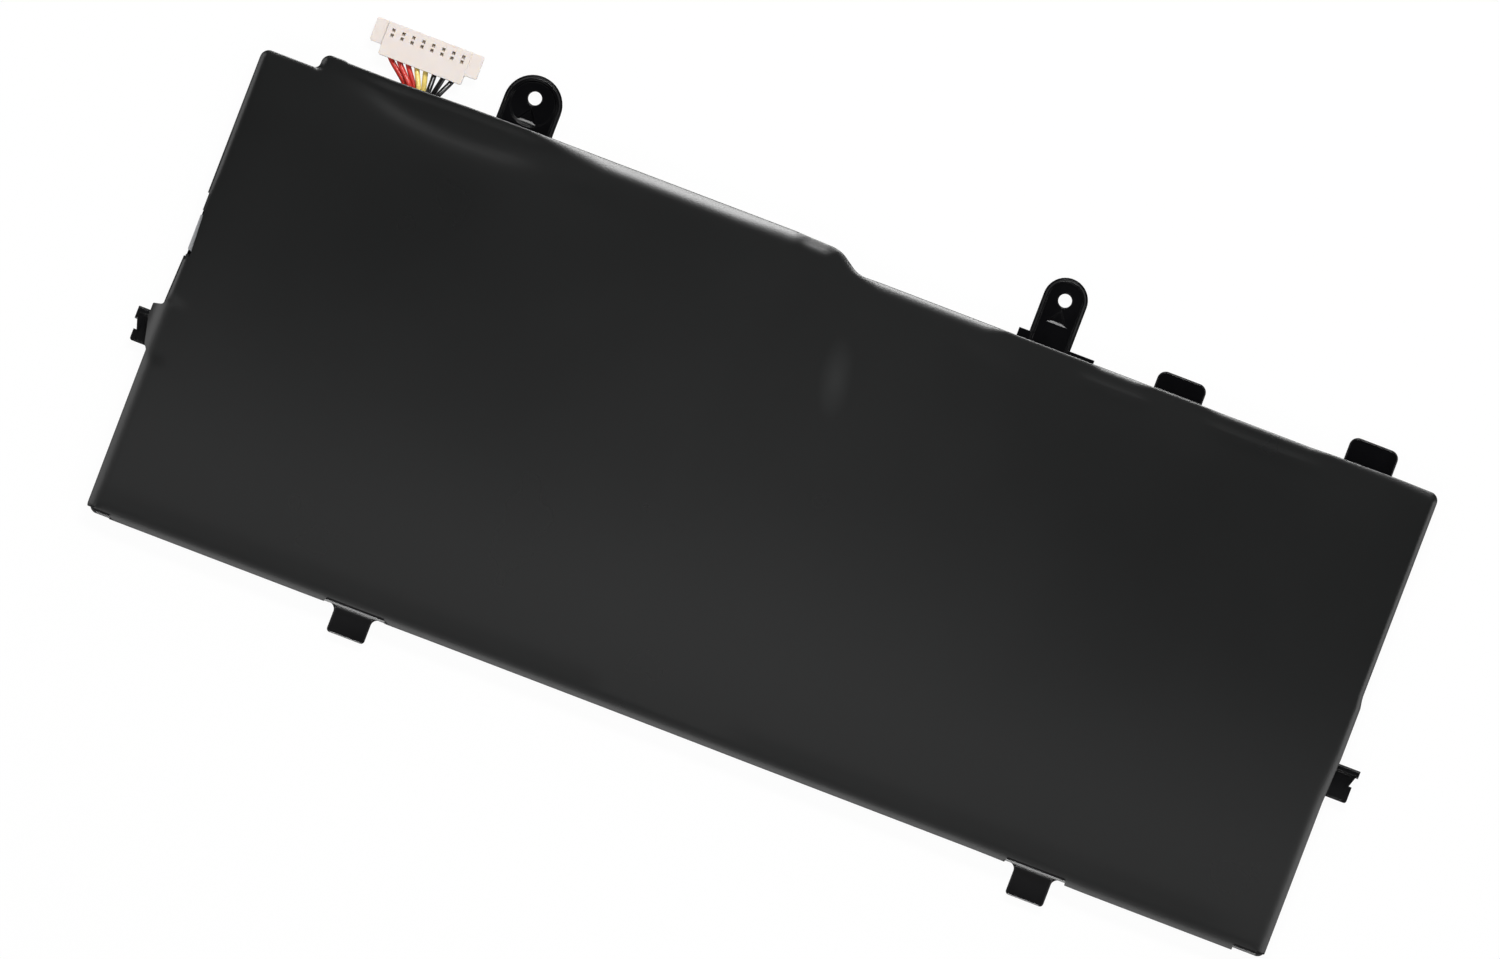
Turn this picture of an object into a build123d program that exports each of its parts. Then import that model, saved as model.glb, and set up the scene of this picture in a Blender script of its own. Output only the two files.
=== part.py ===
# Flat two-cell laptop battery: a moulded frame with screw ears, hook tabs and side clips,
# two pouch cells, a protection board, face films and a short lead set with its plug.
# Millimetres. +X runs along the pack, +Y towards the screw ears, +Z up from the underside.
# The origin lies on the underside, below the middle of the pack body.
import math
import os

from build123d import *

os.makedirs("parts", exist_ok=True)

# Cells, which set the size of the pack
cell_width = 99.3
cell_depth = 83.5
cell_t = 4.8
cell_corner_r = 2.6
cell_edge = 2.0
cell_base_edge = 0.7
cell_clearance = 0.25
seam_t = 0.35
seam_end_gap = 6.0
terrace_depth = 3.6
terrace_t = 0.35
terrace_end_gap = 3.0
terrace_clearance = 0.15

# Rails and web of the frame around the cells
rail_wall = 1.2  # left and upper rails, and the outer wall of the others
web_width = 26.5
right_rail = 8.2
lower_rail = 3.8
floor_t = 0.8
rib_t = 1.0
web_rows = 5
rail_rows = 5
lower_columns = 8
body_corner_r = 1.7
foot_chamfer = 0.3

# Films and adhesive
film_t = 0.15
tape_t = 0.1
tape_margin = 9.0
panel_rise = 0.3  # of the film over a cell, above the rails
film_bevel = 0.5  # where the film folds over the frame's upper edge
skirt_gap = 0.05  # under the film's skirt, to the highest thing that stands out there
base_film_inset = 1.2

# Cell tabs, as distances from the cell edge beside the web
tab_near = 24.3
tab_far = 54.3
tab_width = 6.0
tab_t = 0.15
tab_bend_r = 0.25
tab_slot_gap = 0.7
tab_rise_gap = 0.3  # from the terrace to the tab's upright

# Board bay
bay_inset = 11.0  # from the left end of the body
bay_overrun = 15.75  # from the web's left side to the middle of the curved step
bay_rise = 3.1
bay_step_run = 4.6
bay_step_r = 5.6
bay_root_r = 1.0
bay_end_wall = 4.2

# Board and what it carries
board_t = 0.6
board_seat = 0.65  # height of the bay's floor
board_gap = 0.25
board_cell_gap = 0.7
plate_t = 0.15
cover_t = 0.2
chip_edge = 0.12
# Name, stretch of the board and distance along it, length, depth, height
chips = (
    ("thermistor", "leads", 1.4, 1.6, 0.8, 0.8),
    ("charge_switch", "tabs", 3.0, 3.3, 3.3, 0.9),
    ("discharge_switch", "tabs", 7.4, 3.3, 3.3, 0.9),
    ("safety_fuse", "tabs", 13.0, 4.0, 3.0, 1.2),
    ("sense_resistor", "chips", 4.6, 6.4, 3.2, 0.6),
    ("gauge_chip", "chips", 11.6, 4.0, 4.0, 0.8),
    ("protector_chip", "chips", 16.4, 3.0, 3.0, 0.8),
)
capacitor_length = 0.8
capacitor_depth = 1.6
capacitor_height = 0.8
capacitor_gap = 1.0
capacitors_along_leads = 5.2
capacitors_along_tabs = 20.0
resistor_length = 0.5
resistor_depth = 1.0
resistor_height = 0.35
resistor_gap = 0.8
resistors_along_tabs = 17.0
resistors_along_chips = 20.0

# Screw ears
ear_hole_d = 2.6
ear_hole_rise = 6.25  # from the bay's outer edge
left_ear_offset = 4.2  # from the left cell's far tab
left_ear_width = 11.2
left_ear_nose = 4.35  # from the hole's middle to the ear's end
right_ear_offset = 29.3  # from the right cell's edge beside the web
right_ear_width = 8.5
right_ear_nose = 4.35
ear_base = 0.75
ear_t = 2.0
ear_flare_r = 0.6
ear_ledge = 0.35  # plain border outside the raised face
ear_ledge_drop = 0.5
ear_edge = 0.3
ear_rim = 0.95
ear_dish = 0.35
ear_hole_bevel = 0.2
screw_seat_d = 8.8
screw_seat_depth = 0.3
screw_seat_drop = 1.1  # from the hole's middle to the seat's
ear_arrow_base = 4.0
ear_arrow_side = 3.6
ear_arrow_depth = 0.3
ear_arrow_slope = 52.0
ear_arrow_drop = 1.95  # from the hole's edge to the arrow's middle
root_lap = 0.7  # how far ears, tabs and clips run into the frame

# Foot pads either side of the right ear
pad_left_reach = 2.0
pad_left_rise = 1.9
pad_right_reach = 4.9
pad_right_rise = 0.95

# Hook tabs
hook_base = 0.9
hook_t = 1.4
hook_root_r = 0.5
hook_edge = 0.25
hook_flare_drop = 0.4  # of the flares at the root, below the face
upper_hook_width = 9.6
upper_hook_corner_r = 1.65
upper_hook_flare_r = 0.4
near_upper_hook_inset = 52.5  # from the right end of the body
near_upper_hook_reach = 3.95
far_upper_hook_inset = 14.4
far_upper_hook_reach = 5.15
lower_hook_width = 7.5
lower_hook_corner_r = 0.7
lower_hook_flare_r = 1.3
left_lower_hook_inset = 53.5  # from the left end of the body
left_lower_hook_reach = 5.25
right_lower_hook_inset = 45.8  # from the right end of the body
right_lower_hook_reach = 5.85

# Side clips
clip_drop = 7.0  # from the pack's middle line to the clip's upper edge
clip_length = 6.6
clip_reach = 4.8
clip_step = 0.5
clip_base = 0.3
clip_t = 2.1
clip_lip_h = 0.6
clip_lip_width = 1.05
clip_lip_edge = 0.28
clip_recess = 0.5
clip_border = 0.35
clip_notch_depth = 0.6
clip_notch_span = 1.85
left_notch_drop = 2.5  # from the clip's upper edge to its notch
right_notch_drop = 1.5
clip_corner_r = 0.5

# Film flap over the root of the left clip
flap_reach = 2.35
flap_low_reach = 0.9
flap_over = 1.1  # beyond the clip's upper edge
flap_full = 2.4  # length at full reach
flap_under = 0.1  # beyond the clip's lower edge
flap_root_rise = 1.35  # above the film's skirt
flap_tip_rise = 0.2

# Film cut-outs
hook_notch_side = 2.6
hook_notch_depth = 1.2
bare_corner_left = 4.4
bare_corner_right = 6.2
bare_corner_depth = 1.2
side_notch_high = 17.4  # above the pack's middle line
side_notch_low = 4.8
side_notch_depth = 1.0
side_notch_shallow = 0.35  # depth at the upper end

# Window in the left rail, and the cell's seam that shows in it
seam_window_high = 14.0  # above the pack's middle line
seam_window_low = 5.2
seam_window_sill = 1.2
seam_tongue_reach = 1.55
seam_tongue_t = 0.3
seam_tongue_rise = 2.75  # from the cell's underside
seam_tongue_slope = 0.65
seam_tongue_gap = 0.35

# Leads
lead_d = 0.94
lead_sides = 8
lead_gap = 0.02  # between neighbours where they leave the bay
lead_colours = ("red", "red", "red", "yellow", "yellow", "black", "black", "black")
lead_exit_offset = 16.25  # from the left cell's far tab
exit_side_gap = 0.75
exit_drop = 0.2  # of the gap's sill below the board's face
lead_layer_rise = 0.85
lead_end_inset = 2.7  # from the board's outer edge
lead_row_pitch = 1.2
bend_share = 0.45  # of the shorter run that a bend may take
solder_width = 0.8
solder_h = 0.6
solder_slope = 15.0

# Plug
plug_pitch = 2.0
plug_offset = 1.78  # from the middle of the leads' exit
plug_away = 3.6  # from the bay's outer edge
plug_length = 6.5
plug_height = 3.4
plug_end_wall = 1.3  # beyond the outer ways
plug_wing_reach = 2.4
plug_wing_length = 4.6
plug_wing_height = 2.2
plug_edge = 0.25
plug_hood = 1.2  # open recess around the leads at the rear
plug_hood_wall = 0.5
way_width = 1.5
way_height = 2.2
way_front_wall = 0.5
pin_hole = 0.7
window_width = 0.6  # one of the pair over each way
window_length = 0.65
window_bar = 0.35
window_front = 1.1
contact_fit = 0.1
contact_length = 3.2
contact_wall = 0.25

# Levels
frame_height = cell_t + 2 * tape_t - panel_rise
frame_base = film_t
frame_top = frame_base + frame_height
cell_base = film_t + tape_t
cell_top = cell_base + cell_t
board_base = frame_base + board_seat
board_top = board_base + board_t
plate_top = board_top + plate_t
ear_top = ear_base + ear_t
hook_top = hook_base + hook_t
clip_top = clip_base + clip_t
lead_top = board_top + lead_d + lead_layer_rise
skirt_base = max(ear_top, hook_top + hook_root_r, clip_top + clip_lip_h, lead_top) + skirt_gap
edge_bevel = min(film_bevel, frame_top - skirt_base)

# Pack body, sized by the cells, the rails and the web
window_length_x = cell_width + 2 * cell_clearance
body_length = 2 * film_t + rail_wall + 2 * window_length_x + web_width + right_rail
upper_rail = terrace_clearance + rail_wall
body_depth = 2 * film_t + lower_rail + cell_clearance + cell_depth + terrace_depth + upper_rail
body_left = -body_length / 2
body_right = body_length / 2
body_low = -body_depth / 2
body_high = body_depth / 2
frame_left = body_left + film_t
frame_right = body_right - film_t
frame_low = body_low + film_t
frame_high = body_high - film_t

# Plan positions of the cells and of the windows that they stand in
left_cell_x = frame_left + rail_wall + window_length_x / 2
right_cell_x = left_cell_x + window_length_x + web_width
window_low = frame_low + lower_rail
window_high = frame_high - rail_wall
cell_low = window_low + cell_clearance
cell_high = cell_low + cell_depth
cell_y = (cell_low + cell_high) / 2
terrace_end = cell_high + terrace_depth
web_left = left_cell_x + window_length_x / 2
web_right = right_cell_x - window_length_x / 2
window_right = right_cell_x + window_length_x / 2
left_cell_edge = left_cell_x + cell_width / 2
right_cell_edge = right_cell_x - cell_width / 2

# Plan positions of the bay, the board and the tabs that come up to it
bay_start = body_left + bay_inset
bay_end = web_left + bay_overrun
bay_high = body_high + bay_rise
frame_bay_high = bay_high - film_t
bay_left_in = bay_start + film_t + rail_wall
bay_right_in = bay_end - bay_end_wall
bay_high_in = frame_bay_high - rail_wall
board_left = bay_left_in + board_gap
board_right = bay_right_in - board_gap
board_low = cell_high + board_cell_gap
board_high = bay_high_in - board_gap
board_length = board_right - board_left
board_depth = board_high - board_low
left_tab_xs = (left_cell_edge - tab_far, left_cell_edge - tab_near)
right_tab_xs = (right_cell_edge + tab_near, right_cell_edge + tab_far)
tab_upright_y = terrace_end + tab_rise_gap
tab_slot_width = tab_width + 2 * tab_slot_gap
tab_slot_end = tab_upright_y + tab_t / 2 + tab_rise_gap
strap_lane = (window_high - board_low - tab_slot_gap) / 2
lane_low = board_low - board_gap
lower_lane_y = board_low + strap_lane / 2
upper_lane_y = lower_lane_y + strap_lane + tab_rise_gap

# Plan positions of what stands out of the frame
ear_hole_y = bay_high + ear_hole_rise
left_ear_x = left_tab_xs[0] + left_ear_offset
right_ear_x = right_cell_edge + right_ear_offset
lower_hooks = (
    (body_left + left_lower_hook_inset, -left_lower_hook_reach),
    (body_right - right_lower_hook_inset, -right_lower_hook_reach),
)
upper_hooks = (
    (body_right - near_upper_hook_inset, near_upper_hook_reach),
    (body_right - far_upper_hook_inset, far_upper_hook_reach),
)
clip_high = -clip_drop
clip_low = clip_high - clip_length
flap_high = clip_high + flap_over
flap_bend = flap_high - flap_full
flap_low = clip_low - flap_under

# Plan positions of the leads and the plug
lead_count = len(lead_colours)
exit_x = left_tab_xs[0] - lead_exit_offset
exit_pitch = lead_d + lead_gap
exit_width = (lead_count - 1) * exit_pitch + lead_d + 2 * exit_side_gap
plug_x = exit_x - plug_offset
plug_rear = bay_high + plug_away
plug_front = plug_rear + plug_length
plug_width = (lead_count - 1) * plug_pitch + 2 * plug_end_wall
lead_z = plug_height / 2
way_start = plug_rear + plug_hood
contact_start = plug_front - way_front_wall - contact_fit - contact_length


def save(piece, name):
    piece.label = name
    export_step(piece, f"parts/{name}.step")


# Outline of the pack body, with the board bay standing out of its upper edge
with BuildSketch() as body_plan:
    with BuildLine():
        FilletPolyline(
            (body_left, body_low),
            (body_right, body_low),
            (body_right, body_high),
            (bay_end + bay_step_run / 2, body_high),
            (bay_end - bay_step_run / 2, bay_high),
            (bay_start, bay_high),
            (bay_start, body_high),
            (body_left, body_high),
            radius=(body_corner_r, body_corner_r, body_corner_r, bay_step_r, bay_step_r,
                    body_corner_r, bay_root_r, body_corner_r),
            close=True,
        )
    make_face()


def body_block(inset, low, high):
    # The body's outline, drawn in by the inset, with its upper edge bevelled parallel to the outer one
    with BuildPart() as block:
        with BuildSketch(Plane.XY.offset(low)):
            add(body_plan.sketch_local)
            if inset:
                offset(amount=-inset)
        extrude(amount=high - low)
        chamfer(block.faces().sort_by(Axis.Z)[-1].edges(), edge_bevel - (2 - math.sqrt(2)) * inset)
    return block.part


def round_end(x, width, root, arc_y):
    # Outline of a strip with a round end
    with BuildSketch() as plan:
        with Locations((x, (root + arc_y) / 2)):
            Rectangle(width, arc_y - root)
        with Locations((x, arc_y)):
            Circle(width / 2)
    return plan.sketch


def flared_root(x, width, flare_r, wall, out):
    # Outline of a tab's root, with a hollow flare at each side where it leaves the wall
    half = width / 2
    shoulder = half + 2 * flare_r
    root = wall - out * root_lap
    end = wall + out * 2 * flare_r
    with BuildSketch() as plan:
        with BuildLine():
            FilletPolyline(
                (x - shoulder, root), (x - shoulder, wall), (x - half, wall), (x - half, end),
                (x + half, end), (x + half, wall), (x + shoulder, wall), (x + shoulder, root),
                radius=(0, 0, flare_r, 0, 0, flare_r, 0, 0),
                close=True,
            )
        make_face()
    return plan.sketch


def screw_ear(x, width, nose, wall, has_seat):
    # Round-ended ear with a plain ledge, a raised rim, a dished face and a bevelled screw hole
    root = wall - root_lap
    arc_y = ear_hole_y + nose - width / 2
    ledge_z = ear_top - ear_ledge_drop
    dish_z = ear_top - ear_dish
    floor_z = dish_z - screw_seat_depth if has_seat else dish_z
    with BuildPart() as ear:
        with BuildSketch(Plane.XY.offset(ear_base)):
            add(round_end(x, width, root, arc_y))
            add(flared_root(x, width, ear_flare_r, wall, 1))
        extrude(amount=ear_t - ear_ledge_drop)
        with BuildSketch(Plane.XY.offset(ledge_z)):
            add(round_end(x, width - 2 * ear_ledge, root, arc_y))
        extrude(amount=ear_ledge_drop)
        chamfer(ear.faces().sort_by(Axis.Z)[-1].edges(), ear_edge)
        with BuildSketch(Plane.XY.offset(dish_z)):
            add(round_end(x, width - 2 * ear_rim, root + ear_rim, arc_y))
        extrude(amount=ear_dish, mode=Mode.SUBTRACT)
        if has_seat:
            with Locations((x, ear_hole_y - screw_seat_drop, floor_z)):
                Cone(screw_seat_d / 2 - screw_seat_depth, screw_seat_d / 2, screw_seat_depth,
                     align=(Align.CENTER, Align.CENTER, Align.MIN), mode=Mode.SUBTRACT)
        # Sunk arrow that points at the screw
        with BuildSketch(Plane.XY.offset(floor_z)):
            with Locations((x, ear_hole_y - ear_hole_d / 2 - ear_arrow_drop)):
                Triangle(a=ear_arrow_base, b=ear_arrow_side, c=ear_arrow_side, align=Align.CENTER)
        extrude(amount=-ear_arrow_depth, taper=ear_arrow_slope, mode=Mode.SUBTRACT)
        with BuildSketch(Plane.XY.offset(ear_base)):
            with Locations((x, ear_hole_y)):
                Circle(ear_hole_d / 2)
        extrude(amount=ear_t, mode=Mode.SUBTRACT)
        with Locations((x, ear_hole_y, floor_z - ear_hole_bevel)):
            Cone(ear_hole_d / 2, ear_hole_d / 2 + 2 * ear_hole_bevel, 2 * ear_hole_bevel,
                 align=(Align.CENTER, Align.CENTER, Align.MIN), mode=Mode.SUBTRACT)
    return ear.part


def hook_tab(x, reach, width, corner_r, flare_r, wall):
    # Flat tab with bevelled edges and a flared root, and a hollow rounding up to the frame's wall
    out = 1 if reach > 0 else -1
    tip = wall + reach
    root = wall - out * root_lap
    half = width / 2
    arc_top = (wall, hook_top + hook_root_r)
    arc_foot = (wall + out * hook_root_r, hook_top)
    with BuildPart() as hook:
        with BuildSketch(Plane.XY.offset(hook_base)):
            with BuildLine():
                FilletPolyline(
                    (x - half, root), (x - half, tip), (x + half, tip), (x + half, root),
                    radius=(0, corner_r, corner_r, 0),
                    close=True,
                )
            make_face()
        extrude(amount=hook_t)
        root_edge, *rim = hook.faces().sort_by(Axis.Z)[-1].edges().sort_by(Axis.Y, reverse=out < 0)
        chamfer(rim, hook_edge)
        with BuildSketch(Plane.XY.offset(hook_base)):
            add(flared_root(x, width, flare_r, wall, out))
        extrude(amount=hook_t - hook_flare_drop)
        with BuildSketch(Plane.YZ.offset(x - half)):
            with BuildLine():
                Polyline(arc_foot, (root, hook_top), (root, hook_top + hook_root_r), arc_top)
                RadiusArc(arc_top, arc_foot, -out * hook_root_r)
            make_face()
        extrude(amount=width)
    return hook.part


def side_clip(side, wall, notch_drop):
    # Block with a lip along its upper edge, a recess below it and a slanted notch in its outer face
    root = wall - side * root_lap
    lip_end = wall + side * clip_reach
    face = lip_end - side * clip_step
    lip_low = clip_high - clip_lip_width
    notch_high = clip_high - notch_drop
    notch_low = notch_high - clip_notch_span
    recess_end = face - side * clip_notch_depth
    with BuildPart() as clip:
        with BuildSketch(Plane.XY.offset(clip_base)):
            with BuildLine():
                Polyline(
                    (root, clip_high), (lip_end, clip_high), (lip_end, notch_high), (face, notch_high),
                    (face - side * clip_notch_depth, notch_low), (face, notch_low), (face, clip_low),
                    (root, clip_low),
                    close=True,
                )
            make_face()
        extrude(amount=clip_t)
        outer_edges = clip.edges().filter_by(Axis.Z).group_by(Axis.Y)[0]
        fillet(outer_edges.sort_by(Axis.X, reverse=side > 0)[0], clip_corner_r)
        with BuildSketch(Plane.XY.offset(clip_top)):
            with BuildLine():
                Polyline(
                    (root, clip_high), (lip_end, clip_high), (lip_end, notch_high), (face, notch_high),
                    (face, lip_low), (root, lip_low),
                    close=True,
                )
            make_face()
        extrude(amount=clip_lip_h)
        lip_edges = clip.faces().sort_by(Axis.Z)[-1].edges().filter_by(Axis.X).sort_by(Axis.Y)
        chamfer((lip_edges[0], lip_edges[-1]), clip_lip_edge)
        with BuildSketch(Plane.XY.offset(clip_top)):
            with Locations(((wall + recess_end) / 2, (lip_low + clip_low) / 2)):
                Rectangle(abs(recess_end - wall) - 2 * clip_border, lip_low - clip_low - 2 * clip_border)
        extrude(amount=-clip_recess, mode=Mode.SUBTRACT)
    return clip.part


def flap_slab(root_z, tip_z, thickness):
    # Slab that slopes down over the left clip's root, seen from above as a slanted flap
    root_x = frame_left + rail_wall / 2
    tip_x = body_left - flap_reach
    with BuildPart() as slab:
        with BuildSketch(Plane.XZ.offset(-flap_high)):
            with BuildLine():
                Polyline(
                    (root_x, root_z), (tip_x, tip_z),
                    (tip_x, tip_z + thickness), (root_x, root_z + thickness),
                    close=True,
                )
            make_face()
        extrude(amount=flap_high - flap_low)
        with BuildSketch(Plane.XY):
            with BuildLine():
                Polyline(
                    (root_x, flap_high), (tip_x, flap_high), (tip_x, flap_bend),
                    (body_left - flap_low_reach, flap_low), (root_x, flap_low),
                    close=True,
                )
            make_face()
        extrude(amount=frame_top, mode=Mode.INTERSECT)
    return slab.part


# The flap's film, and the gusset of the frame that it lies on
flap_root_z = skirt_base + flap_root_rise
flap_tip_z = skirt_base + flap_tip_rise
gusset_t = flap_tip_z - clip_base
film_flap = flap_slab(flap_root_z, flap_tip_z, film_t)
flap_gusset = flap_slab(flap_root_z - gusset_t, clip_base, gusset_t)

# Frame
with BuildPart() as frame:
    add(body_block(film_t, frame_base, frame_top))
    chamfer(frame.faces().sort_by(Axis.Z)[0].edges(), foot_chamfer)

    # Windows for the cells
    window_y = (window_low + window_high) / 2
    with BuildSketch(Plane.XY.offset(frame_base)):
        with Locations((left_cell_x, window_y), (right_cell_x, window_y)):
            RectangleRounded(window_length_x, window_high - window_low, cell_corner_r)
    extrude(amount=frame_height, mode=Mode.SUBTRACT)

    # Bay for the board, and the lane that the straps take across the web
    with BuildSketch(Plane.XY.offset(board_base)):
        with Locations((bay_left_in, bay_high_in)):
            Rectangle(bay_right_in - bay_left_in, bay_high_in - window_high + rib_t,
                      align=(Align.MIN, Align.MAX))
        with Locations((bay_right_in, window_high + rib_t)):
            Rectangle(bay_right_in - web_left + rib_t, window_high + rib_t - lane_low, align=Align.MAX)
    extrude(amount=frame_height, mode=Mode.SUBTRACT)
    with BuildSketch(Plane.XY.offset(board_top)):
        with Locations((web_right + cell_corner_r, window_high)):
            Rectangle(web_right + cell_corner_r - bay_right_in + rib_t, window_high - lane_low,
                      align=Align.MAX)
    extrude(amount=frame_height, mode=Mode.SUBTRACT)

    # Upright slots where the cell tabs bend up
    with BuildSketch(Plane.XY.offset(frame_base)):
        with Locations(*[(x, tab_slot_end) for x in (*left_tab_xs, *right_tab_xs)]):
            Rectangle(tab_slot_width, tab_slot_end - window_high + rib_t, align=(Align.CENTER, Align.MAX))
    extrude(amount=frame_height, mode=Mode.SUBTRACT)

    # Moulded pockets, which leave ribs in the web, the right rail and the lower rail
    web_span = (web_width - 3 * rib_t) / 2
    web_depth = lane_low - rib_t - window_low
    web_pitch = web_depth / web_rows
    rail_span = right_rail - rail_wall - rib_t
    rail_pitch = (window_high - window_low) / rail_rows
    lower_span = lower_rail - rail_wall - rib_t
    lower_run = window_right - frame_left - 2 * rail_wall
    lower_pitch = lower_run / lower_columns
    with BuildSketch(Plane.XY.offset(frame_base + floor_t)):
        with Locations(((web_left + web_right) / 2, window_low + web_depth / 2)):
            with GridLocations(web_span + rib_t, web_pitch, 2, web_rows):
                Rectangle(web_span, web_pitch - rib_t)
        with Locations((window_right + rib_t + rail_span / 2, window_y)):
            with GridLocations(rail_span, rail_pitch, 1, rail_rows):
                Rectangle(rail_span, rail_pitch - rib_t)
        with Locations((frame_left + rail_wall + lower_run / 2, window_low - rib_t - lower_span / 2)):
            with GridLocations(lower_pitch, lower_span, lower_columns, 1):
                Rectangle(lower_pitch - rib_t, lower_span)
    extrude(amount=frame_height, mode=Mode.SUBTRACT)

    # Gap where the leads leave the bay, and the window for the cell's side seam
    with BuildSketch(Plane.XY.offset(board_top - exit_drop)):
        with Locations((exit_x, frame_bay_high - rail_wall / 2)):
            Rectangle(exit_width, 2 * rail_wall)
    extrude(amount=frame_height, mode=Mode.SUBTRACT)
    with BuildSketch(Plane.XY.offset(frame_base + seam_window_sill)):
        with Locations((frame_left + rail_wall / 2, (seam_window_low + seam_window_high) / 2)):
            Rectangle(2 * rail_wall, seam_window_high - seam_window_low)
    extrude(amount=frame_height, mode=Mode.SUBTRACT)

    # Ears, the pads at the right ear's root, hook tabs and side clips
    add(screw_ear(left_ear_x, left_ear_width, left_ear_nose, frame_bay_high, True))
    add(screw_ear(right_ear_x, right_ear_width, right_ear_nose, frame_high, False))
    ear_left = right_ear_x - right_ear_width / 2
    ear_right = right_ear_x + right_ear_width / 2
    with BuildSketch(Plane.XY.offset(ear_base)):
        with Locations((ear_left - pad_left_reach, frame_high - root_lap)):
            Rectangle(pad_left_reach + ear_rim, root_lap + pad_left_rise, align=Align.MIN)
        with Locations((ear_right - ear_rim, frame_high - root_lap)):
            Rectangle(pad_right_reach + ear_rim, root_lap + pad_right_rise, align=Align.MIN)
    extrude(amount=ear_t - ear_dish)
    for x, reach in upper_hooks:
        add(hook_tab(x, reach, upper_hook_width, upper_hook_corner_r, upper_hook_flare_r, frame_high))
    for x, reach in lower_hooks:
        add(hook_tab(x, reach, lower_hook_width, lower_hook_corner_r, lower_hook_flare_r, frame_low))
    add(side_clip(-1, frame_left, left_notch_drop))
    add(side_clip(1, frame_right, right_notch_drop))
    add(flap_gusset)
save(frame.part, "frame")


# Top film: a skin over the body with a low panel above each cell
def film_form(inset, low, high):
    panel_width = cell_width - 2 * cell_edge
    panel_depth = cell_depth - 2 * cell_edge
    with BuildPart() as form:
        add(body_block(inset, low, high))
        for x in (left_cell_x, right_cell_x):
            with BuildSketch(Plane.XY.offset(high)):
                with Locations((x, cell_y)):
                    RectangleRounded(cell_width, cell_depth, cell_corner_r)
            with BuildSketch(Plane.XY.offset(high + panel_rise)):
                with Locations((x, cell_y)):
                    RectangleRounded(panel_width, panel_depth, cell_corner_r)
            loft()
    return form.part


with BuildPart() as top_film:
    add(film_form(0, skirt_base, frame_top + film_t))
    add(film_flap)
    add(film_form(film_t, skirt_base, frame_top), mode=Mode.SUBTRACT)
    add(flap_gusset, mode=Mode.SUBTRACT)
    # Cut-outs at the lower hooks and the lower corners, and the notch at the left side's seam
    with BuildSketch(Plane.XY.offset(skirt_base)):
        for x, reach in lower_hooks:
            with Locations((x, body_low)):
                Rectangle(lower_hook_width + 2 * hook_notch_side, 2 * hook_notch_depth)
        with Locations((body_left, body_low)):
            Rectangle(2 * bare_corner_left, 2 * bare_corner_depth)
        with Locations((body_right, body_low)):
            Rectangle(2 * bare_corner_right, 2 * bare_corner_depth)
        with BuildLine():
            Polyline(
                (body_left - film_t, side_notch_high), (body_left + side_notch_shallow, side_notch_high),
                (body_left + side_notch_depth, side_notch_low), (body_left - film_t, side_notch_low),
                close=True,
            )
        make_face()
    extrude(amount=frame_height, mode=Mode.SUBTRACT)
save(top_film.part, "top_film")

# Bottom film: flat sheet under the frame and the cells
with BuildPart() as bottom_film:
    with BuildSketch():
        add(body_plan.sketch_local)
        offset(amount=-base_film_inset)
    extrude(amount=film_t)
save(bottom_film.part, "bottom_film")


# Pouch cells: a formed pouch with its sealed terrace and the folded side seams
def pouch_cell(x, has_tongue):
    side = x - cell_width / 2
    tongue_end = side - seam_tongue_reach
    tongue_low = seam_window_low + seam_tongue_gap
    tongue_high = seam_window_high - seam_tongue_gap
    with BuildPart() as cell:
        with BuildSketch(Plane.XY.offset(cell_base)):
            with Locations((x, cell_y)):
                RectangleRounded(cell_width - 2 * seam_t, cell_depth, cell_corner_r)
        extrude(amount=cell_t)
        chamfer(cell.faces().sort_by(Axis.Z)[-1].edges(), cell_edge)
        chamfer(cell.faces().sort_by(Axis.Z)[0].edges(), cell_base_edge)
        with BuildSketch(Plane.XY.offset(cell_base + cell_base_edge)):
            with Locations((x, cell_y)):
                with GridLocations(cell_width - seam_t, cell_depth, 2, 1):
                    Rectangle(seam_t, cell_depth - 2 * seam_end_gap)
        extrude(amount=cell_t - cell_edge - cell_base_edge)
        with BuildSketch(Plane.XY.offset(cell_base)):
            with Locations((x, terrace_end)):
                Rectangle(cell_width - 2 * terrace_end_gap, terrace_depth + cell_edge,
                          align=(Align.CENTER, Align.MAX))
        extrude(amount=terrace_t)
        if has_tongue:
            with BuildSketch(Plane.XY.offset(cell_base + seam_tongue_rise)):
                with BuildLine():
                    Polyline(
                        (side + seam_t, tongue_high), (tongue_end, tongue_high - seam_tongue_slope),
                        (tongue_end, tongue_low + seam_tongue_slope), (side + seam_t, tongue_low),
                        close=True,
                    )
                make_face()
            extrude(amount=-seam_tongue_t)
    return cell.part


save(pouch_cell(left_cell_x, True), "left_cell")
save(pouch_cell(right_cell_x, False), "right_cell")

# Adhesive sheets between the cells and the films
tape_width = cell_width - 2 * tape_margin
tape_depth = cell_depth - 2 * tape_margin
for side, x in (("left", left_cell_x), ("right", right_cell_x)):
    for face, level in (("base", film_t), ("face", cell_top)):
        with BuildPart() as tape:
            with BuildSketch(Plane.XY.offset(level)):
                with Locations((x, cell_y)):
                    Rectangle(tape_width, tape_depth)
            extrude(amount=tape_t)
        save(tape.part, f"{side}_{face}_tape")

# Board, with slots that the left cell's tabs come up through
with BuildPart() as circuit_board:
    with BuildSketch(Plane.XY.offset(board_base)):
        with Locations((board_left, board_low)):
            Rectangle(board_length, board_depth, align=Align.MIN)
        with Locations(*[(x, (terrace_end + tab_slot_end) / 2) for x in left_tab_xs]):
            Rectangle(tab_slot_width, tab_slot_end - terrace_end, mode=Mode.SUBTRACT)
    extrude(amount=board_t)
save(circuit_board.part, "circuit_board")

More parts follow.
